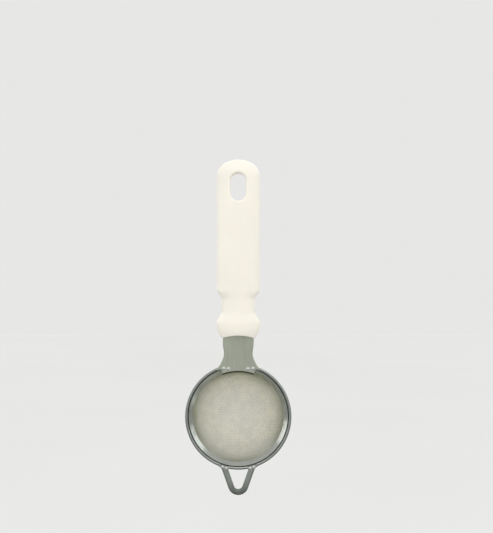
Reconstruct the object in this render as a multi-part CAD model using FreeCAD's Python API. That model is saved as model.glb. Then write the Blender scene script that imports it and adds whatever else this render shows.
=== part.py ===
import FreeCAD, Part
import math
import os

# Tea strainer with a moulded handle, a stamped neck, a two-ring rim, a woven bowl and a rest loop.
# Millimetres. Z runs up the handle as the strainer hangs, -Y is the open mouth side, X is across.
# The origin is the middle of the hanging slot, on the mid plane of the handle and of the neck plate.

# handle
TOP_Z = 15.6
MOUTH_Z = -84.0
MOUTH_ARC_R = 26.0
GRIP_HALF_W = 12.28
GRIP_HALF_T = 6.2
WAIST_HALF_W = 9.4
WAIST_HALF_T = 5.85
GRIP_END_Z = -58.3
WAIST_START_Z = -63.8
WAIST_END_Z = -70.6
COLLAR_Z = -77.2
MOUTH_HALF_W = 7.6
MOUTH_HALF_T = 3.4
COLLAR_HALF_W = 12.5
COLLAR_HALF_T = 6.4
SIDE_ROUND = 0.66
SLOT_W = 8.7
SLOT_H = 15.7
SLOT_ROUND = 1.0
MOUTH_ROUND = 0.8

# stamped sheet shared by the neck plate and the rest loop
SHEET_T = 1.4
SHEET_ROUND = 0.5

# neck plate
TANG_HALF_W = 7.0
TANG_TOP_Z = -26.0
TANG_STEP_Z = -81.0
KEY_HOLE_R = 2.6
KEY_HOLE_ZS = (-38.0, -56.0, -71.0)
NECK_HALF_W = 8.7
NECK_MIN_HALF_W = 8.15
NECK_MIN_Z = -95.0
TONGUE_HALF_W = 9.4
TONGUE_R = 25.2
TONGUE_BEVEL = 0.95
FOOT_HALF_W = 12.1

# rim: a round bead, then a groove, then a clamp ring that holds the cloth on a conical seat
RIM_Z = -130.2
RIM_R = 30.25
BEAD_R = 0.85
PRESS = 0.12
CLOTH_OUTER_R = 28.2
SEAT_INNER_R = 26.7
SEAT_T = 0.45
CLOTH_T = 0.35
FLANGE_Y = 0.95
FLANGE_R = 28.2
FLANGE_SLOPE = 0.593
CLAMP_OUTER_R = 28.15
CLAMP_INNER_R = 25.9
CLAMP_FRONT_Y = -0.3
CLAMP_T = 0.45

# woven bowl
BOWL_EDGE_R = 26.1
BOWL_DEPTH = 22.0

# rest loop
LOOP_BAR = 3.4
LOOP_T = 2.4
LOOP_ROUND = 1.1
LOOP_OUTER_R = 5.87
LOOP_Z = -168.57
LOOP_HALF_DEG = 19.5
LOOP_FOOT_EXTRA = 0.5
FOOT_INNER_X = 6.0
FOOT_SPAN = 4.2

# welds: low domes on the mouth side
WELD_BALL_R = 1.4
WELD_HEIGHT = 0.45
NECK_WELDS = ((8.25, -102.9), (5.55, -103.1))
LOOP_WELDS = ((8.8, -158.6), (6.75, -159.3))

RIM_Y = SHEET_T / 2.0 + BEAD_R - PRESS
LOOP_Y = SHEET_T / 2.0 - LOOP_T / 2.0
BEAD_MID_R = RIM_R - BEAD_R


def vec(x, y, z):
    return FreeCAD.Vector(x, y, z)


def oval_wire(half_w, half_t, z):
    """Closed section of the handle at height z: two crowned arcs joined by two tighter side arcs."""
    rs = SIDE_ROUND * half_t
    big = ((half_w - rs) ** 2 + half_t ** 2 - rs ** 2) / (2.0 * (half_t - rs))
    a = math.atan2(big - half_t, half_w - rs)
    jx, jy = (half_w - rs) + rs * math.cos(a), rs * math.sin(a)
    return Part.Wire([
        Part.Arc(vec(jx, -jy, z), vec(half_w, 0, z), vec(jx, jy, z)).toShape(),
        Part.Arc(vec(jx, jy, z), vec(0, half_t, z), vec(-jx, jy, z)).toShape(),
        Part.Arc(vec(-jx, jy, z), vec(-half_w, 0, z), vec(-jx, -jy, z)).toShape(),
        Part.Arc(vec(-jx, -jy, z), vec(0, -half_t, z), vec(jx, -jy, z)).toShape(),
    ])


def smooth(t):
    t = min(1.0, max(0.0, t))
    return t * t * (3.0 - 2.0 * t)


def handle_size(z):
    """Half width and half thickness of the handle at height z."""
    end_h = TOP_Z - 6.0
    grip_end, waist_start = GRIP_END_Z, WAIST_START_Z
    waist_end, collar_z = WAIST_END_Z, COLLAR_Z
    tip_z = MOUTH_Z - 4.0
    if z > 6.0:
        u = (z - 6.0) / end_h
        k = math.sqrt(max(0.0, 1.0 - u * u))
        return GRIP_HALF_W * k, GRIP_HALF_T * (0.45 * k + 0.55 * math.sqrt(k))
    if z > grip_end:
        return GRIP_HALF_W, GRIP_HALF_T
    if z > waist_start:
        t = smooth((grip_end - z) / (grip_end - waist_start))
        return (GRIP_HALF_W + (WAIST_HALF_W - GRIP_HALF_W) * t,
                GRIP_HALF_T + (WAIST_HALF_T - GRIP_HALF_T) * t)
    if z > waist_end:
        return WAIST_HALF_W, WAIST_HALF_T
    if z > collar_z:
        t = smooth((waist_end - z) / (waist_end - collar_z))
        return (WAIST_HALF_W + (COLLAR_HALF_W - WAIST_HALF_W) * t,
                WAIST_HALF_T + (COLLAR_HALF_T - WAIST_HALF_T) * t)
    u = (collar_z - z) / (collar_z - tip_z)
    drop = 1.0 - u ** 2
    return (MOUTH_HALF_W + (COLLAR_HALF_W - MOUTH_HALF_W) * drop,
            MOUTH_HALF_T + (COLLAR_HALF_T - MOUTH_HALF_T) * drop)


def stadium(width, height, y0, y1):
    r = width / 2.0
    half = height / 2.0 - r
    a, b = vec(-r, y0, -half), vec(-r, y0, half)
    c, d = vec(r, y0, half), vec(r, y0, -half)
    wire = Part.Wire([
        Part.makeLine(a, b),
        Part.Arc(b, vec(0, y0, half + r), c).toShape(),
        Part.makeLine(c, d),
        Part.Arc(d, vec(0, y0, -half - r), a).toShape(),
    ])
    return Part.Face(wire).extrude(vec(0, y1 - y0, 0))


def cylinder_y(radius, x, z, y0=-40.0, y1=60.0):
    return Part.makeCylinder(radius, y1 - y0, vec(x, y0, z), vec(0, 1, 0))


def ring_solid(profile, y=0.0):
    """Solid of revolution about the rim axis from (radius, depth) points."""
    points = [vec(r, y + d, RIM_Z) for r, d in profile]
    wire = Part.makePolygon(points + [points[0]])
    return Part.Face(wire).revolve(vec(0, 0, RIM_Z), vec(0, 1, 0), 360.0)


def flange_depth(radius, behind=0.0):
    """Depth of the cloth's flange at a radius, `behind` its front face, measured square to it."""
    return FLANGE_Y + (FLANGE_R - radius) * FLANGE_SLOPE + behind * math.hypot(1.0, FLANGE_SLOPE)


def edges_at_depth(shape, y):
    """Edges that lie flat in the plane at depth y."""
    found = []
    for e in shape.Edges:
        box = e.BoundBox
        if abs(box.YMin - y) < 1e-4 and abs(box.YMax - y) < 1e-4:
            found.append(e)
    return found


def with_welds(shape, spots, front_y):
    """The sheet with a mirrored set of low weld domes on its mouth side."""
    y = front_y + WELD_BALL_R - WELD_HEIGHT
    slab = Part.makeBox(60.0, 1.0, 60.0, vec(-30.0, front_y - 0.9, -30.0))
    for x, z in spots:
        for side in (-1, 1):
            ball = Part.makeSphere(WELD_BALL_R, vec(side * x, y, z))
            slab.Placement.Base = vec(0, 0, z)
            shape = shape.fuse(ball.common(slab))
    return shape


# ---- neck plate: tang, neck, flared feet on the bead and a tongue over the clamp ring

def neck_plate():
    y = -SHEET_T / 2.0
    foot_z = RIM_Z + math.sqrt(RIM_R ** 2 - FOOT_HALF_W ** 2)
    slope = -FOOT_HALF_W / math.sqrt(RIM_R ** 2 - FOOT_HALF_W ** 2)

    def side(sign):
        flare = Part.BSplineCurve()
        rows = [(NECK_HALF_W, -84.0), (NECK_HALF_W - 0.05, -90.0), (NECK_MIN_HALF_W, NECK_MIN_Z),
                (9.2, -98.2), (10.5, -100.8), (FOOT_HALF_W, foot_z)]
        start = vec(0, 0, -1)
        end = vec(sign * 1.0, 0, slope)
        flare.interpolate([vec(sign * w, y, z) for w, z in rows],
                          InitialTangent=start, FinalTangent=end)
        return flare.toShape()

    p_top_l, p_top_r = vec(-TANG_HALF_W, y, TANG_TOP_Z), vec(TANG_HALF_W, y, TANG_TOP_Z)
    p_step_l, p_step_r = vec(-TANG_HALF_W, y, TANG_STEP_Z), vec(TANG_HALF_W, y, TANG_STEP_Z)
    q_l, q_r = vec(-NECK_HALF_W, y, -83.0), vec(NECK_HALF_W, y, -83.0)
    m_l, m_r = vec(-NECK_HALF_W, y, -84.0), vec(NECK_HALF_W, y, -84.0)
    f_l, f_r = vec(-FOOT_HALF_W, y, foot_z), vec(FOOT_HALF_W, y, foot_z)
    low = RIM_Z + 5.0
    b_l, b_r = vec(-FOOT_HALF_W, y, low), vec(FOOT_HALF_W, y, low)
    wire = Part.Wire(Part.__sortEdges__([
        Part.makeLine(p_top_l, p_top_r),
        Part.makeLine(p_top_r, p_step_r),
        Part.makeLine(p_step_r, q_r),
        Part.makeLine(q_r, m_r),
        side(1),
        Part.makeLine(f_r, b_r),
        Part.makeLine(b_r, b_l),
        Part.makeLine(b_l, f_l),
        side(-1),
        Part.makeLine(m_l, q_l),
        Part.makeLine(q_l, p_step_l),
        Part.makeLine(p_step_l, p_top_l),
    ]))
    plate = Part.Face(wire).extrude(vec(0, SHEET_T, 0))
    # the feet stop at the inner edge of the bead and the tongue goes on to the clamp's inner edge
    tongue = Part.makeBox(2 * TONGUE_HALF_W, 4.0, 60.0, vec(-TONGUE_HALF_W, -2.0, RIM_Z))
    bead_inner = RIM_R - 2.0 * BEAD_R + 0.05
    feet_cut = cylinder_y(bead_inner, 0, RIM_Z, -3.0, 3.0).cut(tongue)
    plate = plate.cut(feet_cut).cut(cylinder_y(TONGUE_R, 0, RIM_Z, -3.0, 3.0))
    keep = Part.makeBox(60.0, 4.0, 120.0, vec(-30.0, -2.0, RIM_Z + 20.0))
    plate = plate.common(keep)
    # round the upright corners of the tongue and of the tang
    upright = []
    for e in plate.Edges:
        box = e.BoundBox
        if box.YLength < SHEET_T - 0.01 or box.XLength > 0.01 or box.ZLength > 0.01:
            continue
        r = math.hypot(box.XMin, box.ZMin - RIM_Z)
        if abs(abs(box.XMin) - TONGUE_HALF_W) < 0.01 and r < bead_inner + 0.1:
            upright.append(e)
    plate = plate.makeFillet(0.9, upright)
    tang_corner = [e for e in plate.Edges
                   if e.BoundBox.YLength > SHEET_T - 0.01 and e.BoundBox.ZMin > TANG_TOP_Z - 0.01
                   and e.BoundBox.XLength < 0.01]
    plate = plate.makeFillet(2.5, tang_corner)
    for z in KEY_HOLE_ZS:
        plate = plate.cut(cylinder_y(KEY_HOLE_R, 0, z, -3.0, 3.0))
    return plate


def outside_handle(edge):
    return edge.BoundBox.ZMax < MOUTH_Z + 4.0


def tongue_slope():
    """Cutter for the tongue's end, which is turned down into the bowl at 45 degrees."""
    foot_y = TONGUE_BEVEL - SHEET_T / 2.0
    return ring_solid([
        (TONGUE_R - 4.0, foot_y),
        (TONGUE_R, foot_y),
        (TONGUE_R + TONGUE_BEVEL + 1.0, -SHEET_T / 2.0 - 1.0),
        (TONGUE_R - 4.0, -SHEET_T / 2.0 - 1.0),
    ])


def rounded_sheet(plate):
    """Round the plate's outline on both faces, as far up as it can be seen."""
    for y in (-SHEET_T / 2.0, SHEET_T / 2.0):
        picked = [e for e in edges_at_depth(plate, y) if outside_handle(e)]
        plate = plate.makeFillet(SHEET_ROUND, picked)
    return plate


# ---- rest loop: a V of flat bar with a round end and two feet on the bead

def bar_section(width, place):
    """Rounded section of the bar, carried to its place by a function of (across, depth)."""
    h, t = width / 2.0, LOOP_T / 2.0
    r = min(LOOP_ROUND, 0.46 * width)
    k = r * (1.0 - math.sqrt(0.5))
    corners = [(h, t, -1, -1), (-h, t, 1, -1), (-h, -t, 1, 1), (h, -t, -1, 1)]
    arcs = []
    for i, (x, y, sx, sy) in enumerate(corners):
        a = place(x, y + sy * r)
        m = place(x + sx * k, y + sy * k)
        b = place(x + sx * r, y)
        arcs.append((a, m, b) if i % 2 == 0 else (b, m, a))
    edges = []
    for i, (a, m, b) in enumerate(arcs):
        edges.append(Part.Arc(a, m, b).toShape())
        edges.append(Part.makeLine(b, arcs[(i + 1) % 4][0]))
    return Part.Face(Part.Wire(edges))


def rest_loop():
    a = math.radians(LOOP_HALF_DEG)
    mid = LOOP_OUTER_R - LOOP_BAR / 2.0
    parts = []
    for side in (-1, 1):
        out = vec(side * math.cos(a), 0, -math.sin(a))
        base = vec(0, 0, LOOP_Z) + out * mid
        face = bar_section(LOOP_BAR, lambda x, y: base + out * x + vec(0, y + LOOP_Y, 0))
        leg = face.extrude(vec(side * math.sin(a), 0, math.cos(a)) * 14.0)
        parts.append(leg)
    out = vec(-math.cos(a), 0, -math.sin(a))
    base = vec(0, 0, LOOP_Z) + out * mid
    face = bar_section(LOOP_BAR, lambda x, y: base + out * x + vec(0, y + LOOP_Y, 0))
    bend = face.revolve(vec(0, 0, LOOP_Z), vec(0, 1, 0), -(180.0 - 2.0 * LOOP_HALF_DEG))
    parts.append(bend)
    bead_inner = RIM_R - 2.0 * BEAD_R + 0.05
    foot_w = RIM_R - 0.1 - bead_inner
    foot_mid = bead_inner + foot_w / 2.0
    lo = math.degrees(math.asin((FOOT_INNER_X - LOOP_FOOT_EXTRA) / foot_mid))
    hi = math.degrees(math.asin((FOOT_INNER_X + FOOT_SPAN + LOOP_FOOT_EXTRA) / foot_mid))
    legs = parts[0].fuse(parts[1:])
    legs = legs.cut(cylinder_y(bead_inner, 0, RIM_Z, -3.0, 3.0))
    legs = sorted(legs.Solids, key=lambda s: -s.Volume)[0]
    pads = []
    for side in (-1, 1):
        start = math.radians(hi if side > 0 else -lo)
        out = vec(math.sin(start), 0, -math.cos(start))
        pad_base = vec(0, 0, RIM_Z) + out * foot_mid
        face = bar_section(foot_w, lambda x, y: pad_base + out * x + vec(0, y + LOOP_Y, 0))
        pads.append(face.revolve(vec(0, 0, RIM_Z), vec(0, 1, 0), hi - lo))
    return legs.fuse(pads).removeSplitter()


# ---- rim, clamp ring and woven bowl

def bead():
    return Part.makeTorus(BEAD_MID_R, BEAD_R, vec(0, RIM_Y, RIM_Z), vec(0, 1, 0))


def rim_ring():
    outer = BEAD_MID_R - 0.05
    seat = ring_solid([
        (SEAT_INNER_R, flange_depth(SEAT_INNER_R, CLOTH_T)),
        (outer, flange_depth(outer, CLOTH_T)),
        (outer, flange_depth(outer, CLOTH_T + SEAT_T)),
        (SEAT_INNER_R, flange_depth(SEAT_INNER_R, CLOTH_T + SEAT_T)),
    ], RIM_Y)
    return bead().fuse(seat).removeSplitter()


def clamp_ring():
    """Pressed ring: an outer wall standing on the cloth and a cone sloping in to its edge."""
    wall_in = CLAMP_OUTER_R - CLAMP_T
    slant = CLAMP_T * math.sqrt(2.0)

    def cone(radius, behind=0.0):
        return CLAMP_FRONT_Y + (CLAMP_OUTER_R - radius) + behind

    # the inner end is cut where the back of the cone comes down on the cloth
    touch = (CLAMP_FRONT_Y + slant + CLAMP_OUTER_R - FLANGE_Y - FLANGE_R * FLANGE_SLOPE)
    touch = touch / (1.0 - FLANGE_SLOPE)
    return ring_solid([
        (CLAMP_OUTER_R, CLAMP_FRONT_Y + 0.12),
        (CLAMP_OUTER_R, flange_depth(CLAMP_OUTER_R)),
        (wall_in, flange_depth(wall_in)),
        (wall_in, cone(wall_in, slant)),
        (touch, flange_depth(touch)),
        (CLAMP_INNER_R, cone(CLAMP_INNER_R)),
        (CLAMP_OUTER_R - 0.12, cone(CLAMP_OUTER_R - 0.12)),
    ], RIM_Y)


def bowl():
    """Revolved shell: a conical flange held between the rings, then a spherical cap."""
    top_y = flange_depth(BOWL_EDGE_R)
    height = BOWL_DEPTH - top_y
    ball = (BOWL_EDGE_R ** 2 + height ** 2) / (2.0 * height)
    centre = BOWL_DEPTH - ball

    def skin(offset):
        """Outline from the flange to the bottom, `offset` behind the mouth side of the cloth."""
        big = ball + offset
        low, high = 24.0, min(28.0, big - 1e-6)
        for _ in range(60):
            r = (low + high) / 2.0
            if centre + math.sqrt(big * big - r * r) > flange_depth(r, offset):
                low = r
            else:
                high = r
        corner = vec(r, RIM_Y + flange_depth(r, offset), RIM_Z)
        half = math.asin(r / big) / 2.0
        mid = vec(big * math.sin(half), RIM_Y + centre + big * math.cos(half), RIM_Z)
        start = vec(CLOTH_OUTER_R, RIM_Y + flange_depth(CLOTH_OUTER_R, offset), RIM_Z)
        return start, corner, mid, vec(0, RIM_Y + centre + big, RIM_Z)

    a0, c0, m0, e0 = skin(0.0)
    a1, c1, m1, e1 = skin(CLOTH_T)
    face = Part.Face(Part.Wire([
        Part.makeLine(a0, c0),
        Part.Arc(c0, m0, e0).toShape(),
        Part.makeLine(e0, e1),
        Part.Arc(e1, m1, c1).toShape(),
        Part.makeLine(c1, a1),
        Part.makeLine(a1, a0),
    ]))
    return face.revolve(vec(0, 0, RIM_Z), vec(0, 1, 0), 360.0)


# ---- handle

def handle_run(zs, tip=None):
    """Smooth length of the handle through the sections at the given heights."""
    profiles = [Part.Vertex(*tip)] if tip else []
    profiles += [oval_wire(*handle_size(z), z) for z in zs]
    return Part.makeLoft(profiles, True, False)


def steps(start, end, count):
    """Evenly spaced heights, closer together near both ends."""
    return [start + (end - start) * (0.5 - 0.5 * math.cos(math.pi * i / (count - 1)))
            for i in range(count)]


def handle(tang):
    runs = [
        handle_run([15.45, 15.1, 14.4, 13.2, 11.5, 9.2, 7.4, 6.0], (0, 0, TOP_Z)),
        handle_run([6.0, GRIP_END_Z]),
        handle_run(steps(GRIP_END_Z, WAIST_START_Z, 7)),
        handle_run([WAIST_START_Z, WAIST_END_Z]),
        handle_run(steps(WAIST_END_Z, COLLAR_Z, 7)),
        handle_run(steps(COLLAR_Z, MOUTH_Z - 3.6, 7)),
    ]
    body = runs[0].fuse(runs[1:]).removeSplitter()
    # the lower end is a hollow arc seen from the front
    arc_z = MOUTH_Z - MOUTH_ARC_R
    end_cut = cylinder_y(MOUTH_ARC_R, 0, arc_z, -20.0, 20.0)
    end_cut.rotate(vec(0, 0, arc_z), vec(0, 1, 0), 180.0)
    body = body.cut(end_cut)
    body = sorted(body.Solids, key=lambda s: -s.Volume)[0]
    ends = [e for e in body.Edges if e.BoundBox.ZMax < MOUTH_Z + 0.6]
    body = body.makeFillet(MOUTH_ROUND, ends)
    body = body.cut(stadium(SLOT_W, SLOT_H, -20.0, 20.0))
    rims = []
    for e in body.Edges:
        box = e.BoundBox
        inside = (abs(box.XMin) < SLOT_W / 2 + 0.02 and abs(box.XMax) < SLOT_W / 2 + 0.02
                  and box.ZMin > -SLOT_H / 2 - 0.02 and box.ZMax < SLOT_H / 2 + 0.02)
        if inside and box.YLength < 2.5:
            rims.append(e)
    body = body.makeFillet(SLOT_ROUND, rims)
    return body.cut(tang)


def main():
    os.makedirs("parts", exist_ok=True)
    plate = neck_plate()
    plate = rounded_sheet(plate)
    plate = plate.cut(tongue_slope())
    grip = handle(plate)
    loop = rest_loop()

    plate = with_welds(plate, NECK_WELDS, -SHEET_T / 2.0)
    loop = with_welds(loop, LOOP_WELDS, LOOP_Y - LOOP_T / 2.0)

    rim = rim_ring().cut(plate).cut(loop)
    rim = sorted(rim.Solids, key=lambda s: -s.Volume)[0]
    nodes = {
        "handle": grip,
        "neck_plate": plate,
        "rim_ring": rim,
        "clamp_ring": clamp_ring(),
        "mesh_bowl": bowl(),
        "rest_loop": loop,
    }
    for name, shape in nodes.items():
        box = shape.BoundBox
        print(name, shape.isValid(), len(shape.Solids), round(shape.Volume, 2),
              [round(v, 2) for v in (box.XMin, box.XMax, box.YMin, box.YMax, box.ZMin, box.ZMax)])
        shape.exportStep("parts/%s.step" % name)
    names = list(nodes)
    for i, first in enumerate(names):
        for second in names[i + 1:]:
            shared = nodes[first].common(nodes[second]).Volume
            if shared > 1e-4:
                print("overlap", first, second, round(shared, 4))


main()
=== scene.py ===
import math

import bpy
from bpy.props import FloatProperty, FloatVectorProperty, PointerProperty
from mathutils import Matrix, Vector


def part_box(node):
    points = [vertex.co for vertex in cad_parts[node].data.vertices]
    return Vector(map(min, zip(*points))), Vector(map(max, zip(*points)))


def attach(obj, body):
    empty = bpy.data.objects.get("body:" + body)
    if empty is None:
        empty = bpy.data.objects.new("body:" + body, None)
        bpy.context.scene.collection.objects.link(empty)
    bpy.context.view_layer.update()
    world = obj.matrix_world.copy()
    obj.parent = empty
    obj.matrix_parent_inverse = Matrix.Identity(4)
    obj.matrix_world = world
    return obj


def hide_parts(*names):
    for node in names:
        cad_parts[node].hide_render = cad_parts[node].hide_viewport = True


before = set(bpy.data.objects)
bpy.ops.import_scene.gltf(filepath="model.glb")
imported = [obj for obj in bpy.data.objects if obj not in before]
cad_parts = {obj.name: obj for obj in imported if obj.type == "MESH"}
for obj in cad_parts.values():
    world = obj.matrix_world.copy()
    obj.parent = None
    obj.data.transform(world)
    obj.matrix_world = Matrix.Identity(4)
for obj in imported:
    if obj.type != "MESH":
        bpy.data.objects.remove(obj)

bl_info = {
    "name": "Tea Strainer",
    "version": (1, 0, 0),
    "blender": (4, 5, 0),
    "location": "View3D > Sidebar > Strainer",
    "description": "Dresses a hand-held tea strainer: moulded handle, steel rim and woven bowl",
    "category": "Object",
}


# ---------------------------------------------------------------- measures and levels

MM = 0.001
RIM_LOW, RIM_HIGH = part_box("rim_ring")
RIM_Z = (RIM_LOW[2] + RIM_HIGH[2]) / 2.0
BOWL_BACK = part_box("mesh_bowl")[1][1]

# The cloth's middle surface, as in the CAD: part of a ball with a conical flange.
BALL_RADIUS = 27.276 * MM
BALL_EDGE = math.radians(73.9)
FLANGE_WIDTH = 1.6 * MM
FLANGE_SLOPE = math.radians(30.7)
CLOTH_HALF_THICKNESS = 0.175 * MM

# The wires. Crimp is the lift at a crossing as a share of the diameter; the share of it in
# PRESSED is left in the flange, and it fades over PRESS_FADE on either side of the edge.
WIRE_SIDES = 6
CRIMP = 0.62
PRESSED = 0.25
PRESS_FADE = 0.3 * MM

# The handle's parting line, by distance from the mid plane, and the relief on its face.
SEAM_FULL = 0.04 * MM
SEAM_END = 0.16 * MM
SEAM_STRENGTH = 0.12
SEAM_GAIN = 0.7
SEAM_HEIGHT = 1.4
GRAIN_HEIGHT = 0.3
HANDLE_RELIEF = 0.02 * MM
PLASTIC_IOR = 1.49
PLASTIC_DEPTH = 1.2 * MM

# Hairlines: darker streaks between two heights of the lines, drawn out round the rim as if
# it were unrolled at this radius.
STREAK_FROM = 0.42
STREAK_TO = 0.60
STREAK_STRENGTH = 0.5
STREAK_GAIN = 0.80
FINE_SHARE = 0.65
COARSE_SHARE = 0.35
COARSENESS = 0.22
UNROLL_RADIUS = 0.03

# Painted spots on the steel: the welds, by their distance from the middle line and below the
# slot, in mm. The weld domes are real; their lighter colour is a painted highlight.
NECK_WELDS = ((8.25, 102.9), (5.55, 103.1))
NECK_WELD_REACH = 1.9 * MM
LOOP_WELDS = ((8.8, 158.6), (6.75, 159.3))
LOOP_WELD_REACH = 1.7 * MM
# The loop's round end is painted darker: painted shade toward its bottom.
LOOP_END = (0.0, 0.0, 173.0 * MM)
LOOP_END_REACH = 9.0 * MM
LOOP_END_SHADE = 0.5
PAINTED_SPOT_STRENGTH = 0.8

# The tongue's bevelled end is painted dark inside this radius: painted shade for the shadow line
# under the tongue.
TONGUE_SHADE_RADIUS = 26.3 * MM
TONGUE_SHADE_FADE = 0.4 * MM
TONGUE_SHADE_STRENGTH = 0.9
TONGUE_SHADE_GAIN = 0.22

# Painted shade: wires are painted darker and greyer between these two radii, toward the bowl's
# edge.
WIRE_EDGE_SHADE = (0.59, 0.605, 0.515)
WIRE_EDGE_SHADE_FROM = 18.0 * MM
WIRE_EDGE_SHADE_TO = 26.5 * MM
WIRE_EDGE_SHADE_STRENGTH = 0.85

FLOOR_Z = -0.30
FLOOR_HALF = 4.0
FLOOR_DARK = (0.728, 0.728, 0.718)
FLOOR_LIGHT = (0.742, 0.742, 0.732)

KEY_PLACE = (0.06, -0.70, 0.65)
KEY_SIZE = (0.9, 0.6)
KEY_POWER = 1.6

SENSOR_WIDTH = 36.0
CLIP_START = 0.01

# What the camera sees behind everything, and what mirrored rays see: grey levels from the
# mouth side (0) to the back (1), made brighter from low to high by MIRROR_GAIN.
BACKDROP = (0.80, 0.80, 0.79)
MIRROR_LEVELS = ((0.0, 0.52), (0.12, 0.50), (0.36, 0.26), (0.62, 0.32), (0.80, 0.80),
                 (1.0, 0.85))
MIRROR_GAIN = (0.60, 1.75)
MIRROR_HEIGHT = 0.8
SOFT_LEVELS = (0.84, 1.10)
SOFT_HEIGHT = 0.9

# Bright patches that only mirrored rays see: the way to each, the cosines where it begins
# and where it is full, its strength there, and its light.
LAMPS = (
    ((0.53, 0.0, -0.85), 0.975, 0.997, 0.20, (1.75, 1.85, 1.80)),
    ((0.88, 0.0, -0.47), 0.975, 0.997, 0.30, (1.75, 1.85, 1.80)),
    ((0.87, -0.02, 0.50), 0.972, 0.995, 1.0, (1.10, 1.14, 1.13)),
    ((0.97, -0.02, 0.25), 0.978, 0.997, 0.60, (1.20, 1.25, 1.25)),
    ((-0.974, -0.057, 0.218), 0.956, 0.985, 1.0, (1.15, 1.15, 1.13)))

FLOAT, VECTOR = "NodeSocketFloat", "NodeSocketVector"


# ---------------------------------------------------------------- node helpers

def plug(tree, socket, value):
    """Links an output to the socket, or sets the socket to a plain value."""
    if isinstance(value, bpy.types.NodeSocket):
        tree.links.new(value, socket)
    else:
        socket.default_value = value


def feed(tree, node, **inputs):
    """Plugs a node's inputs by name, with underscores for spaces."""
    for key, value in inputs.items():
        plug(tree, node.inputs[key.replace("_", " ")], value)


def put(tree, kind, inputs=None, **props):
    """A node with its properties set and each named input plugged."""
    node = tree.nodes.new(kind)
    for key, value in props.items():
        setattr(node, key, value)
    for key, value in (inputs or {}).items():
        plug(tree, node.inputs[key], value)
    return node


def calc(tree, operation, *values):
    """The result of a Math node."""
    inputs = {i: v for i, v in enumerate(values)}
    return put(tree, "ShaderNodeMath", inputs, operation=operation).outputs[0]


def vcalc(tree, operation, *values):
    """The vector result of a Vector Math node."""
    inputs = {i: v for i, v in enumerate(values)}
    return put(tree, "ShaderNodeVectorMath", inputs, operation=operation).outputs[0]


def measure(tree, operation, *values):
    """The number a Vector Math node gives, as for a length or a dot product."""
    inputs = {i: v for i, v in enumerate(values)}
    node = put(tree, "ShaderNodeVectorMath", inputs, operation=operation)
    return node.outputs["Value"]


def combine(tree, x=0.0, y=0.0, z=0.0):
    return put(tree, "ShaderNodeCombineXYZ", {0: x, 1: y, 2: z}).outputs[0]


def split(tree, vector):
    return put(tree, "ShaderNodeSeparateXYZ", {0: vector}).outputs


def noise(tree, vector, scale, detail, roughness=0.5):
    """The value of a Noise Texture."""
    inputs = {"Vector": vector, "Scale": scale, "Detail": detail, "Roughness": roughness}
    return put(tree, "ShaderNodeTexNoise", inputs).outputs[0]


def spread(tree, value, low, high, to_low=0.0, to_high=1.0, smooth=False):
    """A value moved from one range to another and clamped there."""
    kind = "SMOOTHSTEP" if smooth else "LINEAR"
    inputs = {"Value": value, "From Min": low, "From Max": high,
              "To Min": to_low, "To Max": to_high}
    return put(tree, "ShaderNodeMapRange", inputs, interpolation_type=kind).outputs[0]


def blend_colour(tree, factor, a, b, mode="MIX"):
    """The colour result of a Mix node; its colour sockets are numbers 6, 7 and 2."""
    return put(tree, "ShaderNodeMix", {0: factor, 6: a, 7: b},
               data_type="RGBA", blend_type=mode).outputs[2]


def rgba(colour, gain=1.0):
    return (colour[0] * gain, colour[1] * gain, colour[2] * gain, 1.0)


def vary_colour(tree, factor, colour, least, most):
    """A colour that goes from its least to its most gain with the factor."""
    return blend_colour(tree, factor, rgba(colour, least), rgba(colour, most))


def vary_roughness(tree, factor, roughness, least, most):
    """A roughness that goes from its least to its most gain with the factor."""
    return spread(tree, factor, low=0.0, high=1.0, to_low=roughness * least,
                  to_high=roughness * most)


def new_group(name, inputs, outputs, kind="ShaderNodeTree"):
    """An empty node group with named sockets; gives the tree and its two end nodes."""
    tree = bpy.data.node_groups.new(name, kind)
    for way, sockets in (("INPUT", inputs), ("OUTPUT", outputs)):
        for label, sort in sockets:
            tree.interface.new_socket(label, in_out=way, socket_type=sort)
    return tree, tree.nodes.new("NodeGroupInput"), tree.nodes.new("NodeGroupOutput")


def use(tree, group, **inputs):
    """A placed group node with its inputs fed."""
    node = tree.nodes.new("ShaderNodeGroup")
    node.node_tree = bpy.data.node_groups[group]
    feed(tree, node, **inputs)
    return node


# ---------------------------------------------------------------- shared surface effects

def make_hairlines():
    """Fine lines drawn out along one axis, as rolling, brushing or handling leaves them."""
    tree, come, go = new_group(
        "hairlines", [("Vector", VECTOR), ("Fineness", FLOAT), ("Stretch", VECTOR)],
        [("Height", FLOAT), ("Patches", FLOAT), ("Waves", FLOAT)])
    place, fineness = come.outputs["Vector"], come.outputs["Fineness"]
    drawn = vcalc(tree, "MULTIPLY", place, come.outputs["Stretch"])
    fine = noise(tree, drawn, fineness, detail=3.0, roughness=0.6)
    coarse = noise(tree, drawn, calc(tree, "MULTIPLY", fineness, COARSENESS), detail=2.0)
    height = calc(tree, "ADD", calc(tree, "MULTIPLY", fine, FINE_SHARE),
                  calc(tree, "MULTIPLY", coarse, COARSE_SHARE))
    broad = noise(tree, place, scale=160.0, detail=3.0)
    slow = noise(tree, place, scale=230.0, detail=1.0)
    feed(tree, go, Height=height, Waves=slow,
         Patches=spread(tree, broad, low=0.32, high=0.68, smooth=True))


def make_mottle():
    """Soft uneven patches at two sizes, for colour and roughness that are not quite even."""
    tree, come, go = new_group(
        "mottle", [("Vector", VECTOR), ("Scale", FLOAT)],
        [("Factor", FLOAT), ("Speckle", FLOAT)])
    place, scale = come.outputs["Vector"], come.outputs["Scale"]
    big = noise(tree, place, scale, detail=4.0, roughness=0.55)
    small = noise(tree, place, calc(tree, "MULTIPLY", scale, 14.0), detail=2.0)
    feed(tree, go, Factor=spread(tree, big, low=0.3, high=0.7, smooth=True),
         Speckle=spread(tree, small, low=0.35, high=0.72))


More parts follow.
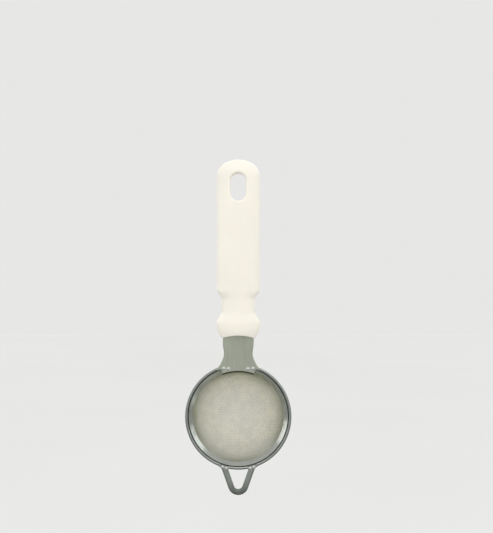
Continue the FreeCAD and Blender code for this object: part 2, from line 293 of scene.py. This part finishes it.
def make_rim_place():
    """Distance from the bowl's axis, and a vector that is straightened out round it."""
    tree, come, go = new_group(
        "rim place", [("Vector", VECTOR), ("Axis Height", FLOAT)],
        [("Radius", FLOAT), ("Turned", VECTOR)])
    x, y, height = split(tree, come.outputs["Vector"])
    z = calc(tree, "SUBTRACT", height, come.outputs["Axis Height"])
    radius = calc(tree, "SQRT", calc(tree, "ADD", calc(tree, "MULTIPLY", x, x),
                                     calc(tree, "MULTIPLY", z, z)))
    angle = calc(tree, "ARCTAN2", x, z)
    feed(tree, go, Radius=radius,
         Turned=combine(tree, radius, y, calc(tree, "MULTIPLY", angle, UNROLL_RADIUS)))


def make_soft_spot():
    """A mask that is 1 at a mirrored pair of spots and fades out round them."""
    tree, come, go = new_group(
        "soft spot", [("Vector", VECTOR), ("Mark", VECTOR), ("Reach", FLOAT)],
        [("Mask", FLOAT)])
    folded = vcalc(tree, "MULTIPLY", vcalc(tree, "ABSOLUTE", come.outputs["Vector"]),
                   (1.0, 0.0, 1.0))
    gap = measure(tree, "DISTANCE", folded, come.outputs["Mark"])
    share = calc(tree, "DIVIDE", gap, come.outputs["Reach"])
    feed(tree, go, Mask=spread(tree, share, low=0.25, high=1.0, to_low=1.0, to_high=0.0,
                               smooth=True))


def make_effects():
    for make in (make_hairlines, make_mottle, make_rim_place, make_soft_spot):
        make()


# ---------------------------------------------------------------- materials

def new_material(name):
    """A material with its tree, its Principled shader and its Object coordinates."""
    material = bpy.data.materials.new(name)
    material.use_nodes = True
    tree = material.node_tree
    shader = tree.nodes["Principled BSDF"]
    place = tree.nodes.new("ShaderNodeTexCoord").outputs["Object"]
    return material, tree, shader, place


def bump(tree, height, distance):
    """A normal bent by a height, where a height of 1 stands this far off the surface."""
    return put(tree, "ShaderNodeBump", {"Height": height, "Distance": distance,
                                        "Strength": 1.0}).outputs[0]


def handle_material(colour, roughness):
    """Satin-gloss white plastic with faint flow clouds, moulding grain and a parting line."""
    material, tree, shader, place = new_material("handle_plastic")
    cloud = use(tree, "mottle", Vector=place, Scale=45.0).outputs
    base = vary_colour(tree, cloud["Factor"], colour, least=0.975, most=1.015)
    off_middle = calc(tree, "ABSOLUTE", split(tree, place)[1])
    seam = spread(tree, off_middle, SEAM_FULL, SEAM_END, to_low=1.0, to_high=0.0, smooth=True)
    base = blend_colour(tree, calc(tree, "MULTIPLY", seam, SEAM_STRENGTH), base,
                        rgba(colour, SEAM_GAIN))
    grain = noise(tree, place, scale=5200.0, detail=2.0)
    height = calc(tree, "ADD", calc(tree, "MULTIPLY", grain, GRAIN_HEIGHT),
                  calc(tree, "MULTIPLY", seam, SEAM_HEIGHT))
    rough = vary_roughness(tree, cloud["Speckle"], roughness, least=0.92, most=1.12)
    feed(tree, shader, Base_Color=base, Roughness=rough,
         Normal=bump(tree, height, HANDLE_RELIEF), IOR=PLASTIC_IOR, Subsurface_Weight=0.12,
         Subsurface_Scale=PLASTIC_DEPTH, Subsurface_Radius=(1.0, 0.85, 0.6))
    return material


def steel_material(name, colour, roughness, stretch=(1.0, 1.0, 0.03), painted_spots=(),
                   round_lines=False, line_depth=0.010 * MM, wave_depth=0.0, shade_radius=None):
    """Stainless steel: drawn or brushed hairlines, patchy sheen, painted spots of another tint
    (the lighter ones are painted highlights, the darker ones painted shade) and, inside the
    given radius, painted shade at an edge. A painted spot is a place, a reach and a tint."""
    material, tree, shader, place = new_material(name)
    where = use(tree, "rim place", Vector=place, Axis_Height=RIM_Z).outputs
    hair = use(tree, "hairlines", Vector=where["Turned"] if round_lines else place,
               Fineness=2600.0, Stretch=stretch).outputs
    patch = use(tree, "mottle", Vector=place, Scale=110.0).outputs
    base = vary_colour(tree, patch["Factor"], colour, least=0.94, most=1.04)
    streak = spread(tree, hair["Height"], STREAK_FROM, STREAK_TO, to_high=STREAK_STRENGTH)
    base = blend_colour(tree, streak, base, rgba(colour, STREAK_GAIN))
    # Painted spots: each blends in its tint; the lighter tints are painted highlights and the
    # darker ones painted shade.
    for mark, reach, tint in painted_spots:
        spot = use(tree, "soft spot", Vector=place, Mark=mark, Reach=reach).outputs["Mask"]
        base = blend_colour(tree, calc(tree, "MULTIPLY", spot, PAINTED_SPOT_STRENGTH), base, rgba(tint))
    # Painted shade: the steel darkens inside the given radius, standing for the shadow line
    # under the tongue's end.
    if shade_radius:
        edge_shade = spread(tree, where["Radius"], shade_radius - TONGUE_SHADE_FADE, shade_radius,
                     to_low=TONGUE_SHADE_STRENGTH, to_high=0.0, smooth=True)
        base = blend_colour(tree, edge_shade, base, rgba(colour, TONGUE_SHADE_GAIN))
    rough = vary_roughness(tree, hair["Patches"], roughness, least=0.88, most=1.16)
    height = calc(tree, "MULTIPLY_ADD", hair["Waves"], wave_depth / line_depth, hair["Height"])
    feed(tree, shader, Base_Color=base, Roughness=rough, Metallic=1.0,
         Normal=bump(tree, height, line_depth))
    return material


def weld_highlight_spots(places, reach, colour):
    """Painted highlights for welds that are all alike: brighter steel over the weld domes."""
    return [((x * MM, 0.0, z * MM), reach, colour) for x, z in places]


def wire_material(colour, roughness):
    """Drawn wire: bright but slightly dulled, uneven in sheen, with painted shade that makes it
    darker and greyer near the bowl's edge.
    """
    material, tree, shader, place = new_material("wire_cloth")
    patch = use(tree, "mottle", Vector=place, Scale=220.0).outputs
    base = vary_colour(tree, patch["Factor"], colour, least=0.88, most=1.08)
    where = use(tree, "rim place", Vector=place, Axis_Height=RIM_Z).outputs
    # Painted shade: darker, greyer wires toward the bowl's edge.
    edge = spread(tree, where["Radius"], WIRE_EDGE_SHADE_FROM, WIRE_EDGE_SHADE_TO,
                  to_high=WIRE_EDGE_SHADE_STRENGTH, smooth=True)
    base = blend_colour(tree, edge, base, rgba(WIRE_EDGE_SHADE))
    rough = vary_roughness(tree, patch["Speckle"], roughness, least=0.85, most=1.2)
    feed(tree, shader, Base_Color=base, Roughness=rough, Metallic=1.0)
    return material


def dress(node, material):
    """Gives a CAD node its finished material in every slot."""
    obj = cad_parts[node]
    if not obj.material_slots:
        obj.data.materials.append(material)
    for slot in obj.material_slots:
        slot.material = material


# ---------------------------------------------------------------- woven wires

def make_weave():
    """Geometry Nodes: one set of parallel crimped wires laid over a spherical bowl with a
    conical flange. The flat cloth is wrapped so that lengths along each meridian are kept."""
    numbers = ("Pitch", "Wire", "Bowl Radius", "Edge Angle", "Flange", "Flange Angle", "Turn",
               "Side")
    tree, come, go = new_group(
        "woven wires", [(label, FLOAT) for label in numbers]
        + [("Centre", VECTOR), ("Material", "NodeSocketMaterial")],
        [("Geometry", "NodeSocketGeometry")], "GeometryNodeTree")
    get = come.outputs
    pitch, ball, slope = get["Pitch"], get["Bowl Radius"], get["Flange Angle"]

    # A flat row of straight wires, with two steps to each pitch, trimmed to a disc.
    edge_run = calc(tree, "MULTIPLY", ball, get["Edge Angle"])
    reach = calc(tree, "ADD", edge_run, get["Flange"])
    half_count = calc(tree, "CEIL", calc(tree, "DIVIDE", reach, pitch))
    half = calc(tree, "MULTIPLY", half_count, pitch)
    back = calc(tree, "MULTIPLY", half, -1.0)
    row = put(tree, "GeometryNodeMeshLine", {
        "Count": calc(tree, "MULTIPLY_ADD", half_count, 2.0, 1.0),
        "Start Location": combine(tree, x=back), "Offset": combine(tree, x=pitch)})
    strand = put(tree, "GeometryNodeCurvePrimitiveLine", {
        "Start": combine(tree, y=back), "End": combine(tree, y=half)})
    steps = put(tree, "GeometryNodeResampleCurve", {
        "Curve": strand.outputs[0], "Count": calc(tree, "MULTIPLY_ADD", half_count, 4.0, 1.0)})
    laid = put(tree, "GeometryNodeInstanceOnPoints", {"Points": row.outputs[0],
                                                      "Instance": steps.outputs[0]})
    loose = put(tree, "GeometryNodeRealizeInstances", {0: laid.outputs[0]})
    flat = tree.nodes.new("GeometryNodeInputPosition").outputs[0]
    run = measure(tree, "LENGTH", flat)
    outside = put(tree, "FunctionNodeCompare", {0: run, 1: reach}, data_type="FLOAT",
                  operation="GREATER_THAN").outputs[0]
    trimmed = put(tree, "GeometryNodeDeleteGeometry", {"Geometry": loose.outputs[0],
                                                       "Selection": outside})

    # The crimp: up and down from one crossing to the next, pressed flatter in the flange.
    x, y, _ = split(tree, flat)
    waves = [calc(tree, "COSINE", calc(tree, "MULTIPLY", calc(tree, "DIVIDE", way, pitch),
                                       math.pi)) for way in (x, y)]
    wave = calc(tree, "MULTIPLY", *waves)
    past_edge = calc(tree, "SUBTRACT", run, edge_run)
    crushed = spread(tree, past_edge, -PRESS_FADE, PRESS_FADE, to_low=1.0, to_high=PRESSED,
                     smooth=True)
    lift = calc(tree, "MULTIPLY", calc(tree, "MULTIPLY", wave, get["Side"]),
                calc(tree, "MULTIPLY", calc(tree, "MULTIPLY", get["Wire"], CRIMP), crushed))

    # Where each point comes to lie: its radius from the axis and its depth from the centre.
    angle = calc(tree, "DIVIDE", calc(tree, "MINIMUM", run, edge_run), ball)
    on_flange = calc(tree, "MAXIMUM", past_edge, 0.0)
    beyond = calc(tree, "GREATER_THAN", run, edge_run)
    lean = calc(tree, "ADD", calc(tree, "MULTIPLY", angle, calc(tree, "SUBTRACT", 1.0, beyond)),
                calc(tree, "MULTIPLY", slope, beyond))
    flange_out = calc(tree, "MULTIPLY", on_flange, calc(tree, "COSINE", slope))
    flange_rise = calc(tree, "MULTIPLY", on_flange, calc(tree, "SINE", slope))
    radius = calc(tree, "ADD",
                  calc(tree, "MULTIPLY_ADD", calc(tree, "SINE", angle), ball, flange_out),
                  calc(tree, "MULTIPLY", lift, calc(tree, "SINE", lean)))
    ball_depth = calc(tree, "MULTIPLY", calc(tree, "COSINE", angle), ball)
    depth = calc(tree, "ADD", calc(tree, "SUBTRACT", ball_depth, flange_rise),
                 calc(tree, "MULTIPLY", lift, calc(tree, "COSINE", lean)))
    turned = put(tree, "ShaderNodeVectorRotate", {"Vector": flat, "Angle": get["Turn"]},
                 rotation_type="Z_AXIS").outputs[0]
    way = split(tree, vcalc(tree, "NORMALIZE", turned))
    place = combine(tree, calc(tree, "MULTIPLY", way[0], radius), depth,
                    calc(tree, "MULTIPLY", way[1], radius))
    moved = put(tree, "GeometryNodeSetPosition", {
        "Geometry": trimmed.outputs[0], "Position": vcalc(tree, "ADD", place, get["Centre"])})

    # Round wire along each curve.
    section = put(tree, "GeometryNodeCurvePrimitiveCircle", {
        "Resolution": WIRE_SIDES, "Radius": calc(tree, "MULTIPLY", get["Wire"], 0.5)})
    tubes = put(tree, "GeometryNodeCurveToMesh", {
        "Curve": moved.outputs[0], "Profile Curve": section.outputs[0], "Fill Caps": True})
    smooth = put(tree, "GeometryNodeSetShadeSmooth", {0: tubes.outputs[0]})
    painted = put(tree, "GeometryNodeSetMaterial", {"Geometry": smooth.outputs[0],
                                                    "Material": get["Material"]})
    tree.links.new(painted.outputs[0], go.inputs["Geometry"])
    return tree


def grow(name, tree, **values):
    """Runs a Geometry Nodes tree on an empty object and keeps the result as a plain mesh."""
    host = bpy.data.objects.new(name, bpy.data.meshes.new(name + "_host"))
    bpy.context.scene.collection.objects.link(host)
    modifier = host.modifiers.new("grow", "NODES")
    modifier.node_group = tree
    names = {item.name: item.identifier for item in tree.interface.items_tree
             if item.item_type == "SOCKET" and item.in_out == "INPUT"}
    for key, value in values.items():
        modifier[names[key.replace("_", " ")]] = value
    graph = bpy.context.evaluated_depsgraph_get()
    mesh = bpy.data.meshes.new_from_object(host.evaluated_get(graph))
    if not mesh.polygons:
        raise RuntimeError(name + " came out empty")
    host.modifiers.clear()
    host.data = mesh
    mesh.name = name
    return host


# ---------------------------------------------------------------- settings

class StrainerHandleSettings(bpy.types.PropertyGroup):
    colour: FloatVectorProperty(name="Plastic Colour", description="Base colour of the handle",
                                subtype="COLOR", size=3, min=0.0, max=1.0,
                                default=(0.90, 0.865, 0.765))
    roughness: FloatProperty(name="Roughness", description="How dull the moulded face is",
                             default=0.34, min=0.0, max=1.0, subtype="FACTOR")


class StrainerSteelSettings(bpy.types.PropertyGroup):
    neck_colour: FloatVectorProperty(name="Neck Colour", description="Stamped neck plate",
                                     subtype="COLOR", size=3, min=0.0, max=1.0,
                                     default=(0.585, 0.625, 0.51))
    rim_colour: FloatVectorProperty(name="Rim Colour", description="Outer bead and seat",
                                    subtype="COLOR", size=3, min=0.0, max=1.0,
                                    default=(0.46, 0.49, 0.455))
    clamp_colour: FloatVectorProperty(name="Clamp Colour", description="Inner clamp band",
                                      subtype="COLOR", size=3, min=0.0, max=1.0,
                                      default=(0.72, 0.745, 0.69))
    loop_colour: FloatVectorProperty(name="Loop Colour", description="Rest loop",
                                     subtype="COLOR", size=3, min=0.0, max=1.0,
                                     default=(0.41, 0.445, 0.405))
    # The welds' bright colour is a painted highlight over the weld domes.
    weld_highlight_colour: FloatVectorProperty(name="Weld Colour", description="Bright steel of the welds",
                                     subtype="COLOR", size=3, min=0.0, max=1.0,
                                     default=(0.86, 0.88, 0.84))


class StrainerClothSettings(bpy.types.PropertyGroup):
    pitch: FloatProperty(name="Pitch", description="Distance from one wire to the next",
                         default=0.72 * MM, min=0.3 * MM, unit="LENGTH")
    wire: FloatProperty(name="Wire Diameter", description="Thickness of each wire",
                        default=0.26 * MM, min=0.05 * MM, unit="LENGTH")
    turn: FloatProperty(name="Turn", description="Turn of the weave about the bowl's axis",
                        default=math.radians(45.0), subtype="ANGLE")
    colour: FloatVectorProperty(name="Wire Colour", description="Colour of the steel wire",
                                subtype="COLOR", size=3, min=0.0, max=1.0,
                                default=(0.77, 0.738, 0.535))


class StrainerStageSettings(bpy.types.PropertyGroup):
    distance: FloatProperty(name="Camera Distance", description="From the handle's mid plane",
                            default=0.7, min=0.3, unit="LENGTH")
    view_height: FloatProperty(name="View Height", description="Height of the framed area",
                               default=0.3022, min=0.1, unit="LENGTH")
    view_middle: FloatVectorProperty(name="View Middle", description="Middle of the framed area",
                                     subtype="XYZ", size=3, default=(0.00467, 0.0, -0.0450))


class StrainerSettings(bpy.types.PropertyGroup):
    handle: PointerProperty(type=StrainerHandleSettings)
    steel: PointerProperty(type=StrainerSteelSettings)
    cloth: PointerProperty(type=StrainerClothSettings)
    stage: PointerProperty(type=StrainerStageSettings)


# ---------------------------------------------------------------- operators

class STRAINER_OT_handle(bpy.types.Operator):
    """Finish the moulded handle"""
    bl_idname = "strainer.handle"
    bl_label = "Handle"

    def execute(self, context):
        s = context.scene.strainer.handle
        dress("handle", handle_material(s.colour, s.roughness))
        return {"FINISHED"}


class STRAINER_OT_neck(bpy.types.Operator):
    """Finish the stamped neck plate"""
    bl_idname = "strainer.neck"
    bl_label = "Neck Plate"

    def execute(self, context):
        s = context.scene.strainer.steel
        # Painted highlights on the welds, and painted shade at the tongue's end.
        painted_spots = weld_highlight_spots(NECK_WELDS, NECK_WELD_REACH, s.weld_highlight_colour)
        dress("neck_plate", steel_material(
            "stamped_steel", s.neck_colour, roughness=0.40, painted_spots=painted_spots,
            line_depth=0.016 * MM, shade_radius=TONGUE_SHADE_RADIUS))
        return {"FINISHED"}


class STRAINER_OT_rim(bpy.types.Operator):
    """Finish the rim's bead and seat, and the clamp band inside it"""
    bl_idname = "strainer.rim"
    bl_label = "Rim and Clamp Ring"

    def execute(self, context):
        s = context.scene.strainer.steel
        dress("rim_ring", steel_material(
            "rim_steel", s.rim_colour, roughness=0.26, round_lines=True,
            stretch=(1.0, 1.0, 0.4), wave_depth=0.10 * MM))
        dress("clamp_ring", steel_material(
            "clamp_steel", s.clamp_colour, roughness=0.17, round_lines=True,
            stretch=(1.0, 1.0, 0.3), line_depth=0.006 * MM, wave_depth=0.12 * MM))
        return {"FINISHED"}


class STRAINER_OT_cloth(bpy.types.Operator):
    """Weave the bowl out of crossing wires"""
    bl_idname = "strainer.cloth"
    bl_label = "Woven Bowl"

    def execute(self, context):
        s = context.scene.strainer.cloth
        centre = (0.0, BOWL_BACK - CLOTH_HALF_THICKNESS - BALL_RADIUS, RIM_Z)
        material = wire_material(s.colour, roughness=0.34)
        tree = make_weave()
        for name, turn, side in (("cloth_warp", 0.0, 1.0), ("cloth_weft", math.pi / 2.0, -1.0)):
            wires = grow(name, tree, Pitch=s.pitch, Wire=s.wire, Bowl_Radius=BALL_RADIUS,
                         Centre=centre, Edge_Angle=BALL_EDGE, Flange=FLANGE_WIDTH,
                         Flange_Angle=FLANGE_SLOPE, Turn=s.turn + turn, Side=side,
                         Material=material)
            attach(wires, "root")
            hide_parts("mesh_bowl")
        return {"FINISHED"}


class STRAINER_OT_loop(bpy.types.Operator):
    """Finish the rest loop"""
    bl_idname = "strainer.loop"
    bl_label = "Rest Loop"

    def execute(self, context):
        s = context.scene.strainer.steel
        painted_spots = weld_highlight_spots(LOOP_WELDS, LOOP_WELD_REACH, s.weld_highlight_colour)
        # Painted shade: the loop's round end is darker.
        painted_spots.append((LOOP_END, LOOP_END_REACH, [LOOP_END_SHADE * c for c in s.loop_colour]))
        dress("rest_loop", steel_material("loop_steel", s.loop_colour, roughness=0.42,
                                          painted_spots=painted_spots))
        return {"FINISHED"}


class STRAINER_OT_stage(bpy.types.Operator):
    """Set the floor, the soft light and the camera"""
    bl_idname = "strainer.stage"
    bl_label = "Stage"

    def execute(self, context):
        scene = context.scene
        self.floor(scene)
        self.world(scene)
        self.key_light(scene)
        self.camera(scene, scene.strainer.stage)
        return {"FINISHED"}

    def floor(self, scene):
        mesh = bpy.data.meshes.new("floor")
        corners = ((-1, -1), (1, -1), (1, 1), (-1, 1))
        mesh.from_pydata([(x * FLOOR_HALF, y * FLOOR_HALF, FLOOR_Z) for x, y in corners],
                         [], [(0, 1, 2, 3)])
        floor = bpy.data.objects.new("floor", mesh)
        scene.collection.objects.link(floor)
        material, tree, shader, place = new_material("floor_paint")
        cloud = use(tree, "mottle", Vector=place, Scale=2.0).outputs
        base = blend_colour(tree, cloud["Factor"], rgba(FLOOR_DARK), rgba(FLOOR_LIGHT))
        feed(tree, shader, Base_Color=base, Roughness=0.85)
        mesh.materials.append(material)
        floor.visible_glossy = False
        floor.visible_diffuse = False

    def world(self, scene):
        """Lets camera rays, mirrored rays and soft light each see a world of their own."""
        world = bpy.data.worlds.new("studio")
        world.use_nodes = True
        tree = world.node_tree
        toward = tree.nodes.new("ShaderNodeTexCoord").outputs["Generated"]
        way = split(tree, toward)
        path = tree.nodes.new("ShaderNodeLightPath").outputs
        soft = spread(tree, way[2], -SOFT_HEIGHT, SOFT_HEIGHT, *SOFT_LEVELS, smooth=True)
        lit = blend_colour(tree, path["Is Glossy Ray"], combine(tree, soft, soft, soft),
                           self.mirrored(tree, toward, way))
        colour = blend_colour(tree, path["Is Camera Ray"], lit, rgba(BACKDROP))
        tree.links.new(colour, tree.nodes["Background"].inputs["Color"])
        scene.world = world

    def mirrored(self, tree, toward, way):
        """The light that mirrored rays see: a ramp from front to back, and the lamps."""
        ramp = put(tree, "ShaderNodeValToRGB", {0: spread(tree, way[1], low=-1.0, high=1.0)})
        band = ramp.color_ramp
        band.elements[0].position = MIRROR_LEVELS[0][0]
        band.elements[1].position = MIRROR_LEVELS[-1][0]
        for at, _ in MIRROR_LEVELS[1:-1]:
            band.elements.new(at)
        for element, (_, level) in zip(band.elements, MIRROR_LEVELS):
            element.color = (level, level, level, 1.0)
        gain = spread(tree, way[2], -MIRROR_HEIGHT, MIRROR_HEIGHT, *MIRROR_GAIN, smooth=True)
        colour = blend_colour(tree, 1.0, ramp.outputs[0], combine(tree, gain, gain, gain),
                              "MULTIPLY")
        for lamp, begins, full, strength, light in LAMPS:
            near = measure(tree, "DOT_PRODUCT", toward, lamp)
            glow = spread(tree, near, begins, full, to_high=strength, smooth=True)
            colour = blend_colour(tree, glow, colour, rgba(light))
        return colour

    def key_light(self, scene):
        data = bpy.data.lights.new("key_softbox", "AREA")
        data.shape = "RECTANGLE"
        data.size, data.size_y = KEY_SIZE
        data.energy = KEY_POWER
        light = bpy.data.objects.new("key_softbox", data)
        light.location = KEY_PLACE
        aim = Vector((0.0, 0.0, RIM_Z / 2.0)) - Vector(KEY_PLACE)
        light.rotation_euler = aim.to_track_quat("-Z", "Y").to_euler()
        scene.collection.objects.link(light)

    def camera(self, scene, s):
        data = bpy.data.cameras.new("camera")
        camera = bpy.data.objects.new("camera", data)
        scene.collection.objects.link(camera)
        x, y, z = s.view_middle
        camera.location = (x, y - s.distance, z)
        camera.rotation_euler = (math.pi / 2.0, 0.0, 0.0)
        data.sensor_width = SENSOR_WIDTH
        data.lens = data.sensor_width * s.distance / s.view_height
        data.clip_start = CLIP_START
        scene.camera = camera
        scene.view_settings.view_transform = "Standard"


class STRAINER_PT_panel(bpy.types.Panel):
    """Lists the strainer's pieces and their settings"""
    bl_idname = "STRAINER_PT_panel"
    bl_label = "Tea Strainer"
    bl_space_type = "VIEW_3D"
    bl_region_type = "UI"
    bl_category = "Strainer"

    def draw(self, context):
        settings = context.scene.strainer
        for group in ("handle", "steel", "cloth", "stage"):
            box = self.layout.box()
            part = getattr(settings, group)
            for name in part.__annotations__:
                box.prop(part, name)
        for operator in OPERATORS:
            self.layout.operator(operator.bl_idname)


OPERATORS = (STRAINER_OT_handle, STRAINER_OT_neck, STRAINER_OT_rim, STRAINER_OT_cloth,
             STRAINER_OT_loop, STRAINER_OT_stage)
CLASSES = (StrainerHandleSettings, StrainerSteelSettings, StrainerClothSettings,
           StrainerStageSettings, StrainerSettings, *OPERATORS, STRAINER_PT_panel)


def register():
    for cls in CLASSES:
        bpy.utils.register_class(cls)
    bpy.types.Scene.strainer = PointerProperty(type=StrainerSettings)


def unregister():
    del bpy.types.Scene.strainer
    for cls in reversed(CLASSES):
        bpy.utils.unregister_class(cls)


def main():
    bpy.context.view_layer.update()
    register()
    make_effects()
    for operator in OPERATORS:
        group, name = operator.bl_idname.split(".")
        getattr(getattr(bpy.ops, group), name)()


if __name__ == "__main__":
    main()
